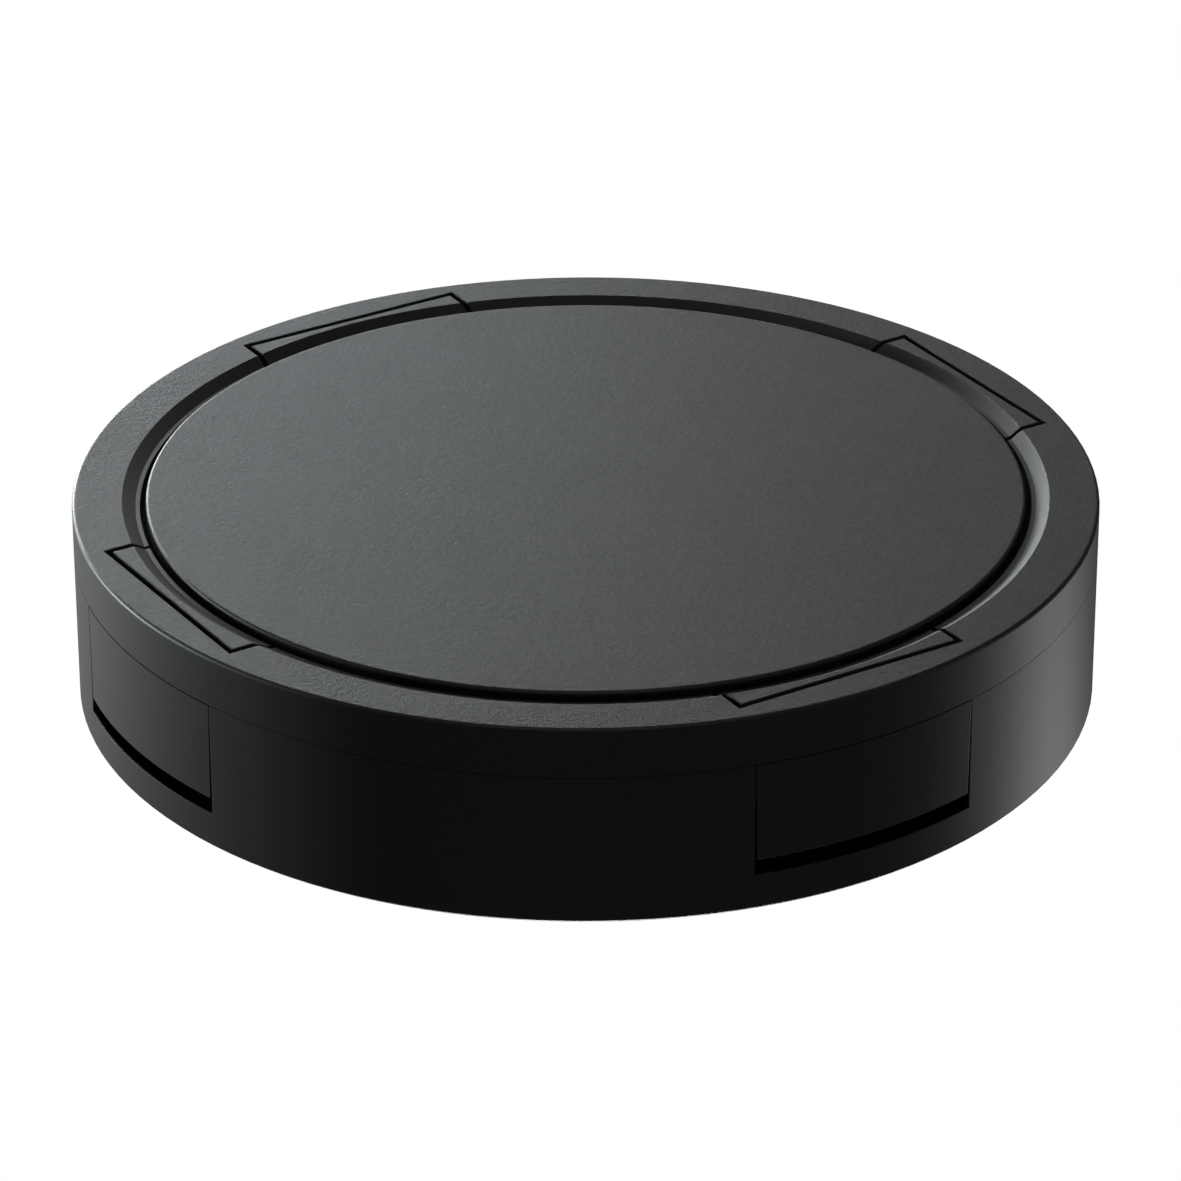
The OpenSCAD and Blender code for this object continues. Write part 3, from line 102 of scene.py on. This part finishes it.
# Camera, from a fit to the object's circles: angles in degrees, from behind the object (-Y)
# round to its left, and the distance in radii of the body.
CAMERA_AZIMUTH, CAMERA_ELEVATION = -31.8, 27.852
CAMERA_YAW, CAMERA_PITCH, CAMERA_ROLL = 0.0486, 0.7493, -0.1425
CAMERA_DISTANCE = 11.760
FOCAL_PX, FRAME_PX = 5934.26, 1181
SENSOR_MM = 36


# ---- Camera

def add_camera():
    """A camera that looks past the middle of the object's foot by small angles."""
    elevation = math.radians(CAMERA_ELEVATION)
    yaw, pitch, roll = (math.radians(a) for a in (CAMERA_YAW, CAMERA_PITCH, CAMERA_ROLL))
    spin = Matrix.Rotation(math.radians(CAMERA_AZIMUTH), 3, "Z")
    tilt = -elevation + pitch
    forward = Vector((math.sin(yaw) * math.cos(tilt), math.cos(yaw) * math.cos(tilt),
                      math.sin(tilt)))
    right = Vector((math.cos(yaw), -math.sin(yaw), 0))
    up = right.cross(forward)
    right, up = (math.cos(roll) * right + math.sin(roll) * up,
                 -math.sin(roll) * right + math.cos(roll) * up)
    away = Vector((0, -math.cos(elevation), math.sin(elevation)))
    place = spin @ away * (CAMERA_DISTANCE * BODY_R)
    right, up, back = spin @ right, spin @ up, -(spin @ forward)
    data = bpy.data.cameras.new("camera")
    data.sensor_width = SENSOR_MM
    data.lens = SENSOR_MM * FOCAL_PX / FRAME_PX
    data.clip_start, data.clip_end = 0.05, 50
    camera = bpy.data.objects.new("camera", data)
    bpy.context.scene.collection.objects.link(camera)
    turn = Matrix((right, up, back)).transposed().to_4x4()
    camera.matrix_world = Matrix.Translation(place + Vector((0, 0, BOTTOM_Z))) @ turn
    bpy.context.scene.camera = camera


# ---- Materials

class Shader:
    """A new material with a Principled shader, and short calls that add nodes to it."""

    def __init__(self, name):
        self.material = bpy.data.materials.new(name)
        self.material.use_nodes = True
        self.tree = self.material.node_tree
        self.bsdf = self.tree.nodes["Principled BSDF"]
        self.place = self.add("ShaderNodeTexCoord").outputs["Object"]

    def add(self, kind, **values):
        node = self.tree.nodes.new(kind)
        for key, value in values.items():
            setattr(node, key, value)
        return node

    def link(self, source, target):
        self.tree.links.new(source, target)

    def set(self, **values):
        """Values of the Principled shader's sockets that are the same all over the surface."""
        for key, value in values.items():
            self.bsdf.inputs[key.replace("_", " ")].default_value = value

    def stretched(self, scale):
        """Object coordinates with another scale along each axis."""
        node = self.add("ShaderNodeMapping")
        node.inputs["Scale"].default_value = scale
        self.link(self.place, node.inputs["Vector"])
        return node.outputs["Vector"]

    def noise(self, scale, detail, roughness, vector=None):
        node = self.add("ShaderNodeTexNoise")
        node.inputs["Scale"].default_value = scale
        node.inputs["Detail"].default_value = detail
        node.inputs["Roughness"].default_value = roughness
        self.link(vector or self.place, node.inputs["Vector"])
        return node.outputs["Fac"]

    def spread(self, value, low, high, at=(0.3, 0.7)):
        """value mapped from the range at to low and high, and held there beyond it."""
        node = self.add("ShaderNodeMapRange")
        node.inputs["From Min"].default_value, node.inputs["From Max"].default_value = at
        node.inputs["To Min"].default_value, node.inputs["To Max"].default_value = low, high
        self.link(value, node.inputs["Value"])
        return node.outputs["Result"]

    def maths(self, operation, *values):
        node = self.add("ShaderNodeMath", operation=operation)
        for socket, value in zip(node.inputs, values):
            if isinstance(value, (int, float)):
                socket.default_value = value
            else:
                self.link(value, socket)
        return node.outputs[0]

    def mix(self, factor, a, b):
        node = self.add("ShaderNodeMix", data_type="RGBA")
        for index, value in ((0, factor), (6, a), (7, b)):
            socket = node.inputs[index]
            if isinstance(value, tuple):
                socket.default_value = (*value, 1)
            else:
                self.link(value, socket)
        return node.outputs[2]

    def bump(self, height, strength, distance, normal=None, where=None):
        """Relief of the surface, on top of a normal and under a mask where these are given."""
        node = self.add("ShaderNodeBump")
        node.inputs["Strength"].default_value = strength
        if where:
            self.link(self.maths("MULTIPLY", where, strength), node.inputs["Strength"])
        node.inputs["Distance"].default_value = distance
        self.link(height, node.inputs["Height"])
        if normal:
            self.link(normal, node.inputs["Normal"])
        self.link(node.outputs["Normal"], self.bsdf.inputs["Normal"])

    def flat_normal(self):
        return self.add("ShaderNodeNewGeometry").outputs["Normal"]

    def edges(self, radius):
        """The normal of slightly rounded edges, and a mask that is 1 on them."""
        bevel = self.add("ShaderNodeBevel", samples=4)
        bevel.inputs["Radius"].default_value = radius
        dot = self.add("ShaderNodeVectorMath", operation="DOT_PRODUCT")
        self.link(bevel.outputs["Normal"], dot.inputs[0])
        self.link(self.flat_normal(), dot.inputs[1])
        return bevel.outputs["Normal"], self.spread(dot.outputs["Value"], 1, 0, (0.8, 0.99))

    def axes(self):
        parts = self.add("ShaderNodeSeparateXYZ")
        self.link(self.place, parts.inputs["Vector"])
        return [parts.outputs[k] for k in "XYZ"]

    def painted_gap_shade_mask(self):
        """Mask of the painted shade: 1 on the upright walls on both sides of the gap round the
        lid, 0 elsewhere.
        """
        x, y, z = self.axes()
        squares = self.maths("ADD", self.maths("MULTIPLY", x, x), self.maths("MULTIPLY", y, y))
        out = self.maths("SQRT", squares)
        between = self.maths("MULTIPLY", self.maths("GREATER_THAN", out, GAP_IN_R),
                             self.maths("LESS_THAN", out, GAP_OUT_R))
        return self.maths("MULTIPLY", between, self.spread(z, 1, 0, GAP_FADE_Z))


def moulded(name, colour, rough, mottle, grain, coarse=1.0, edge=0.0, gap=False):
    """Moulded plastic with a mottle of its colour and gloss, and a spark-eroded grain.

    edge is how much its edges are painted lighter, as wear and as a painted highlight, for the
    shell's parts. gap paints shade on the walls of the gap round the lid: black and dull.
    """
    s = Shader(name)
    cloud = s.noise(CLOUD_SCALE * coarse, 3, 0.6)
    fleck = s.noise(FLECK_SCALE * coarse, 4, 0.72)
    fine = s.noise(FINE_SCALE * coarse, 2, 0.5)
    look = s.maths("ADD", s.maths("MULTIPLY", cloud, 0.2), s.maths("MULTIPLY", fleck, 0.8))
    faint = s.maths("MULTIPLY", fine, 0.3)
    dark = tuple(c * (1 - mottle) for c in colour)
    light = tuple(c * (1 + mottle) for c in colour)
    base = s.mix(s.spread(look, 0, 1, (0.38, 0.62)), dark, light)
    swing = ROUGHNESS_SWING * mottle
    roughness = s.spread(s.maths("ADD", look, faint), rough - swing, rough + swing, (0.5, 0.8))
    height = s.maths("ADD", faint, fleck)
    if edge:
        z = s.axes()[2]
        top = s.spread(z, WALL_GRAIN, 1, GRAIN_FADE_Z)
        change = s.maths("MULTIPLY", s.maths("SUBTRACT", roughness, rough), top)
        roughness = s.maths("ADD", change, rough)
        base = s.mix(top, colour, base)
        normal, mask = s.edges(EDGE_R)
        from_seam = s.maths("ABSOLUTE", s.maths("SUBTRACT", z, SEAM_Z))
        off_seam = s.spread(from_seam, 0, 1, SEAM_CLEAR)
        normal = s.mix(off_seam, s.flat_normal(), normal)
        # Wear and painted highlight: the base colour is made lighter on the rounded edges, off the
        # seam.
        wear_and_highlight = s.maths("MULTIPLY", mask, s.spread(look, 0.3 * edge, edge, (0.4, 0.6)))
        wear_and_highlight_colour = tuple(c * WEAR_AND_HIGHLIGHT_GAIN for c in colour)
        base = s.mix(s.maths("MULTIPLY", wear_and_highlight, off_seam), base, wear_and_highlight_colour)
        s.bump(height, grain, SHELL_GRAIN_DEPTH, normal, top)
    else:
        s.bump(height, grain, GRAIN_DEPTH)
    if gap:
        # Painted shade: the walls of the gap round the lid are made black and dull.
        shade = s.painted_gap_shade_mask()
        base = s.mix(shade, base, GAP_PAINTED_SHADE)
        roughness = s.maths("MAXIMUM", roughness, shade)
    s.link(base, s.bsdf.inputs["Base Color"])
    s.link(roughness, s.bsdf.inputs["Roughness"])
    return s


def metal(name, colour, rough, brushed=(60, 60, 2400)):
    """Drawn or plated metal with fine lines and faint stains. Nylon strands use it too."""
    s = Shader(name)
    lines = s.noise(1, 2, 0.5, s.stretched(brushed))
    stain = s.noise(120, 4, 0.6)
    s.set(Metallic=1.0)
    base = s.mix(s.spread(stain, 0, 1), tuple(c * 0.82 for c in colour), colour)
    s.link(base, s.bsdf.inputs["Base Color"])
    roughness = s.spread(s.maths("ADD", lines, stain), rough - 0.08, rough + 0.1, (0.6, 1.4))
    s.link(roughness, s.bsdf.inputs["Roughness"])
    s.bump(lines, 0.12, 0.00003)
    return s


def rubbery(name, colour, rough):
    """Moulded rubber with dust in its pores."""
    s = Shader(name)
    pores = s.noise(1500, 3, 0.6)
    dust = s.noise(70, 5, 0.65)
    grey = tuple(c * 1.7 + 0.01 for c in colour)
    s.link(s.mix(s.spread(dust, 0, 0.6, (0.5, 0.75)), colour, grey), s.bsdf.inputs["Base Color"])
    s.link(s.spread(dust, rough - 0.05, rough + 0.1), s.bsdf.inputs["Roughness"])
    s.bump(pores, 0.35, 0.00006)
    return s


def make_materials():
    """One material for each material slot of the record."""
    outside = {"rough": 0.48, "mottle": 0.7, "grain": 1.0, "edge": 0.6, "gap": True}
    made = {
        "shell": moulded("shell_plastic", (0.030, 0.030, 0.030), **outside),
        "lid": moulded("lid_plastic", (0.031, 0.031, 0.032), **outside),
        "chassis": moulded("chassis_plastic", (0.052, 0.052, 0.055), 0.5, 0.15, 0.4, 1.4),
        "inner_grey": moulded("inner_grey_plastic", (0.17, 0.17, 0.178), 0.42, 0.1, 0.3, 1.6),
        "dark_clear": moulded("smoked_plastic", (0.10, 0.085, 0.09), 0.18, 0.12, 0.06, 1.2),
        "steel": metal("plated_steel", (0.60, 0.60, 0.62), 0.3),
        "copper_alloy": metal("gold_flash", (0.78, 0.60, 0.34), 0.25, (1800, 90, 90)),
        "rubber": rubbery("black_rubber", (0.022, 0.022, 0.023), 0.7),
        "tyre": rubbery("tyre_rubber", (0.024, 0.024, 0.026), 0.8),
        "bristle": metal("nylon_bristle", (0.14, 0.15, 0.17), 0.5, (2600, 200, 200)),
        "vane": rubbery("blade_rubber", (0.06, 0.07, 0.085), 0.6),
        "board": moulded("solder_mask", (0.012, 0.085, 0.04), 0.28, 0.15, 0.1, 3.0),
        "chip": moulded("chip_case", (0.022, 0.022, 0.023), 0.5, 0.08, 0.3, 4.0),
        "cell": moulded("cell_sleeve", (0.03, 0.075, 0.17), 0.3, 0.08, 0.08, 1.5),
        "filter": moulded("filter_paper", (0.62, 0.61, 0.57), 0.85, 0.08, 0.6),
        "magnet": metal("nickel_plate", (0.66, 0.65, 0.62), 0.18, (200, 200, 200)),
    }
    made["bristle"].set(Metallic=0.0)
    made["dark_clear"].set(Coat_Weight=0.3, Coat_Roughness=0.08)
    made["board"].set(Coat_Weight=0.5, Coat_Roughness=0.15)
    made["cell"].set(Coat_Weight=0.35, Coat_Roughness=0.2)
    return {slot: shader.material for slot, shader in made.items()}


def dress_nodes(materials):
    slot_of = {p["node"]: p["material_slot"] for p in frame["record"]["subparts"]}
    for name, obj in NODES.items():
        obj.data.materials.clear()
        obj.data.materials.append(materials[slot_of[name]])


# ---- Bristles

def strand_object(name, paths, radius, sides, material):
    """One mesh of thin round strands, each along its own points and thinner at its free end."""
    vertices, faces = [], []
    for path in paths:
        first = len(vertices)
        for i, point in enumerate(path):
            along = (path[min(i + 1, len(path) - 1)] - path[max(i - 1, 0)]).normalized()
            side = along.cross(Vector((0.31, 0.17, 0.93))).normalized()
            other = along.cross(side)
            r = radius * (0.6 if i == len(path) - 1 else 1)
            for k in range(sides):
                a = 2 * math.pi * k / sides
                vertices.append(point + r * (math.cos(a) * side + math.sin(a) * other))
        for i in range(len(path) - 1):
            for k in range(sides):
                a, b = first + i * sides + k, first + i * sides + (k + 1) % sides
                faces.append((a, b, b + sides, a + sides))
        faces.append(tuple(first + k for k in reversed(range(sides))))
        faces.append(tuple(first + (len(path) - 1) * sides + k for k in range(sides)))
    mesh = bpy.data.meshes.new(name)
    mesh.from_pydata(vertices, [], faces)
    mesh.materials.append(material)
    mesh.polygons.foreach_set("use_smooth", [True] * len(mesh.polygons))
    mesh.update()
    piece = bpy.data.objects.new(name, mesh)
    bpy.context.scene.collection.objects.link(piece)
    return piece


def side_brush_strands(material):
    """Three bundles of nylon, held in the hub's arms and fanned out to the floor."""
    hub_out, hub_turn = 0.127, math.radians(45)
    rows, layers, points = 5, 8, 8
    strand_r, root_r, tip_r = 0.00016, 0.0176, 0.055
    # Half width, height of the middle and depth of a bundle, at its root and at its tip.
    root_half, root_z, root_depth = 0.0016, 0.0064, 0.0019
    tip_half, tip_z, tip_depth = 0.0027, 0.0021, 0.0014
    rng = random.Random(11)
    centre = Vector((hub_out * math.cos(hub_turn), hub_out * math.sin(hub_turn), 0))
    paths = []
    for turn in (20, 140, 260):
        a = math.radians(turn)
        out, across = Vector((math.cos(a), math.sin(a), 0)), Vector((-math.sin(a), math.cos(a), 0))
        for row in range(-rows, rows + 1):
            for layer in range(layers):
                t, u = row / rows, (layer + 0.5) / layers - 0.5
                root = root_half * t + rng.uniform(-1, 1) * 0.00012
                tip = tip_half * t + rng.uniform(-1, 1) * 0.0004
                reach = tip_r - rng.uniform(0, 1) * 0.0022 - 0.001 * abs(t)
                z_from = root_z + root_depth * u
                z_to = tip_z + tip_depth * u + rng.uniform(-1, 1) * 0.0003
                path = []
                for i in range(points):
                    f = i / (points - 1)
                    r = root_r + (reach - root_r) * f
                    side = root + (tip - root) * f ** 1.6 - 0.0006 * math.sin(math.pi * f)
                    z = z_from + (z_to - z_from) * f ** 1.25
                    path.append(centre + r * out + side * across + Vector((0, 0, z)))
                paths.append(path)
    piece = strand_object("side_brush_strands", paths, strand_r, 5, material)
    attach(piece, BODY_OF["side_brush_bristles"])
    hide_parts("side_brush_bristles")


def main_brush_strands(material):
    """Helical rows of tufts in the brush core, with room for the guard's bars."""
    axle_z, strand_r, root_r, tip_r = 0.020, 0.00011, 0.0078, 0.0179
    twist, twist_length = 100, 0.148
    bars, bar_clear, end_clear = (-0.040, 0, 0.040), 0.0036, 0.0012
    tufts, strands, points = 50, 16, 4
    # The strands of a tuft are spaced by the golden angle in a disc, which grows to the tip.
    golden_angle, disc_r, disc_growth = 2.4, 0.0005, 0.0006
    rng = random.Random(5)
    low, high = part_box("brush_tufts")
    axle_y = (low[1] + high[1]) / 2
    paths = []
    for first in (60, 180, 300):
        for n in range(tufts):
            x = low[0] + end_clear + n * (high[0] - low[0] - 2 * end_clear) / (tufts - 1)
            if min(abs(x - bar) for bar in bars) < bar_clear:
                continue
            angle = math.radians(first + twist * x / twist_length)
            out = Vector((0, math.sin(angle), -math.cos(angle)))
            across = Vector((0, math.cos(angle), math.sin(angle)))
            for k in range(strands):
                spin, ring = golden_angle * k, math.sqrt((k + 0.5) / strands)
                du, dv = ring * math.cos(spin), ring * math.sin(spin)
                reach = tip_r - rng.uniform(0, 1) * 0.0006
                path = []
                for i in range(points):
                    f = i / (points - 1)
                    spread = disc_r + disc_growth * f ** 1.4
                    point = Vector((x, axle_y, axle_z)) + (root_r + (reach - root_r) * f) * out
                    point += spread * du * Vector((1, 0, 0)) + spread * dv * across
                    path.append(point + f * rng.uniform(-1, 1) * 0.0001 * across)
                paths.append(path)
    piece = strand_object("main_brush_strands", paths, strand_r, 4, material)
    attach(piece, BODY_OF["brush_tufts"])
    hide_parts("brush_tufts")


# ---- Rubber diaphragms that carry the shell

def float_diaphragms(material):
    """Four thin rubber diaphragms: the outer edge sits in the chassis, the inner edge on the
    shell's post, and the wall between them curves from one to the other."""
    travel, wall, inner_r, outer_r = 0.003, 0.0002, 0.00305, 0.00625
    steps, turns, corners = 16, 64, ((1, 1), (-1, 1), (-1, -1), (1, -1))
    low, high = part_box("float_rings")
    post_at = high[0] - outer_r
    bottom, height = low[2], high[2] - low[2]
    # The radius follows the same curve as the blend, so that at full travel the wall stays
    # between the post and the hole in the chassis.
    profile = []
    for i in range(steps + 1):
        t = i / steps
        profile.append((inner_r + travel * (1 - t * t * (3 - 2 * t)), bottom + height * t))
    profile += [(r + wall, z) for r, z in reversed(profile)]
    count = len(profile)
    vertices, faces = [], []
    for side_x, side_y in corners:
        first = len(vertices)
        for k in range(turns):
            a = 2 * math.pi * k / turns
            for r, z in profile:
                vertices.append((side_x * post_at + r * math.cos(a),
                                 side_y * post_at + r * math.sin(a), z))
        for k in range(turns):
            here, there = first + k * count, first + (k + 1) % turns * count
            for i in range(count):
                j = (i + 1) % count
                faces.append((here + i, here + j, there + j, there + i))
    mesh = bpy.data.meshes.new("float_diaphragms")
    mesh.from_pydata(vertices, [], faces)
    mesh.materials.append(material)
    form = bmesh.new()
    form.from_mesh(mesh)
    bmesh.ops.recalc_face_normals(form, faces=form.faces)
    form.to_mesh(mesh)
    form.free()
    mesh.update()
    piece = bpy.data.objects.new("float_diaphragms", mesh)
    bpy.context.scene.collection.objects.link(piece)
    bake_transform(piece)
    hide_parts("float_rings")


# ---- Studio

# Square lights: name, azimuth, elevation, size, power and colour. Azimuth 0 is at the camera's
# side of the object, positive to its right, and 180 is behind it.
LIGHTS = (
    ("back", -172, 12, 0.5, 6.4, (0.9, 0.98, 1.0)),
    ("back_high", -170, 28, 0.8, 3.8, (0.9, 0.92, 1.0)),
    ("back_left", -158, 8, 0.3, 19.5, (0.95, 1.0, 0.99)),
    ("back_left_low", -150, 2, 0.4, 38, (0.95, 1.0, 0.95)),
    ("left_low", -112, 2, 0.4, 60, (0.88, 1.0, 0.9)),
    ("left_below", -123, -14, 0.8, 5.0, (0.97, 0.92, 1.0)),
    ("back_right_low", 175, 2, 0.5, 1.0, (0.92, 0.9, 1.0)),
    ("back_right", 165, 20, 0.7, 1.6, (1.0, 0.94, 1.0)),
    ("right_low", 90, 2, 0.4, 2.1, (0.85, 0.95, 1.0)),
    ("right_below", 123, -32, 0.8, 8.2, (1.0, 1.0, 0.97)),
    ("top", 0, 90, 1.6, 1.2, (0.72, 0.82, 1.0)),
    ("front_high", 0, 62, 0.8, 3.8, (1.0, 1.0, 0.98)),
    ("underside", 0, -90, 0.5, 110, (1.0, 1.0, 1.0)),
)
LIGHT_DISTANCE = 2.6
LIGHT_CENTRE_Z = 0.06
LIGHT_AIM = Vector((0, 0, 0.05))
WORLD_COLOUR, WORLD_STRENGTH = (1, 0.9, 0.78, 1), 0.05
FLOOR_HALF, FLOOR_Z, DOME_R = 12, -0.0002, 16


def add_lights():
    for name, azimuth, elevation, size, power, colour in LIGHTS:
        a, e = math.radians(azimuth + CAMERA_AZIMUTH - 90), math.radians(elevation)
        data = bpy.data.lights.new(name, "AREA")
        data.shape = "RECTANGLE"
        data.size = data.size_y = size
        data.energy = power
        data.color = colour
        light = bpy.data.objects.new(name, data)
        out = Vector((math.cos(a) * math.cos(e), math.sin(a) * math.cos(e), math.sin(e)))
        light.location = LIGHT_DISTANCE * out + Vector((0, 0, LIGHT_CENTRE_Z))
        light.rotation_mode = "QUATERNION"
        light.rotation_quaternion = (LIGHT_AIM - light.location).to_track_quat("-Z", "Y")
        bpy.context.scene.collection.objects.link(light)


def add_world():
    world = bpy.data.worlds.new("studio")
    world.use_nodes = True
    background = world.node_tree.nodes["Background"]
    background.inputs["Color"].default_value = WORLD_COLOUR
    background.inputs["Strength"].default_value = WORLD_STRENGTH
    bpy.context.scene.world = world
    bpy.context.scene.view_settings.view_transform = "Standard"


def backdrop_material():
    """Even and pale from inside the room, clear from outside and from below the floor."""
    pale = bpy.data.materials.new("floor_pale")
    pale.use_nodes = True
    tree = pale.node_tree
    tree.nodes.remove(tree.nodes["Principled BSDF"])
    glow = tree.nodes.new("ShaderNodeEmission")
    glow.inputs["Color"].default_value = (1, 1, 1, 1)
    glow.inputs["Strength"].default_value = 1.0
    clear = tree.nodes.new("ShaderNodeBsdfTransparent")
    side = tree.nodes.new("ShaderNodeNewGeometry")
    mix = tree.nodes.new("ShaderNodeMixShader")
    tree.links.new(side.outputs["Backfacing"], mix.inputs[0])
    tree.links.new(glow.outputs[0], mix.inputs[1])
    tree.links.new(clear.outputs[0], mix.inputs[2])
    tree.links.new(mix.outputs[0], tree.nodes["Material Output"].inputs["Surface"])
    return pale


def add_backdrops():
    """The floor, and a dome round it that shows the same tone in views from any height."""
    half = FLOOR_HALF
    corners = [(-half, -half, 0), (half, -half, 0), (half, half, 0), (-half, half, 0)]
    floor_mesh = bpy.data.meshes.new("floor")
    floor_mesh.from_pydata(corners, [], [(0, 1, 2, 3)])
    floor = bpy.data.objects.new("floor", floor_mesh)
    floor.location.z = FLOOR_Z
    dome_mesh = bpy.data.meshes.new("dome")
    dome_form = bmesh.new()
    bmesh.ops.create_icosphere(dome_form, subdivisions=4, radius=DOME_R)
    bmesh.ops.reverse_faces(dome_form, faces=dome_form.faces)
    dome_form.to_mesh(dome_mesh)
    dome_form.free()
    dome = bpy.data.objects.new("dome", dome_mesh)
    pale = backdrop_material()
    for backdrop in (floor, dome):
        backdrop.data.materials.append(pale)
        backdrop.visible_diffuse = False
        backdrop.visible_glossy = False
        backdrop.visible_shadow = False
        bpy.context.scene.collection.objects.link(backdrop)


add_camera()
add_world()
add_backdrops()
add_lights()
MATERIALS = make_materials()
dress_nodes(MATERIALS)
side_brush_strands(MATERIALS["bristle"])
main_brush_strands(MATERIALS["bristle"])
float_diaphragms(MATERIALS["rubber"])
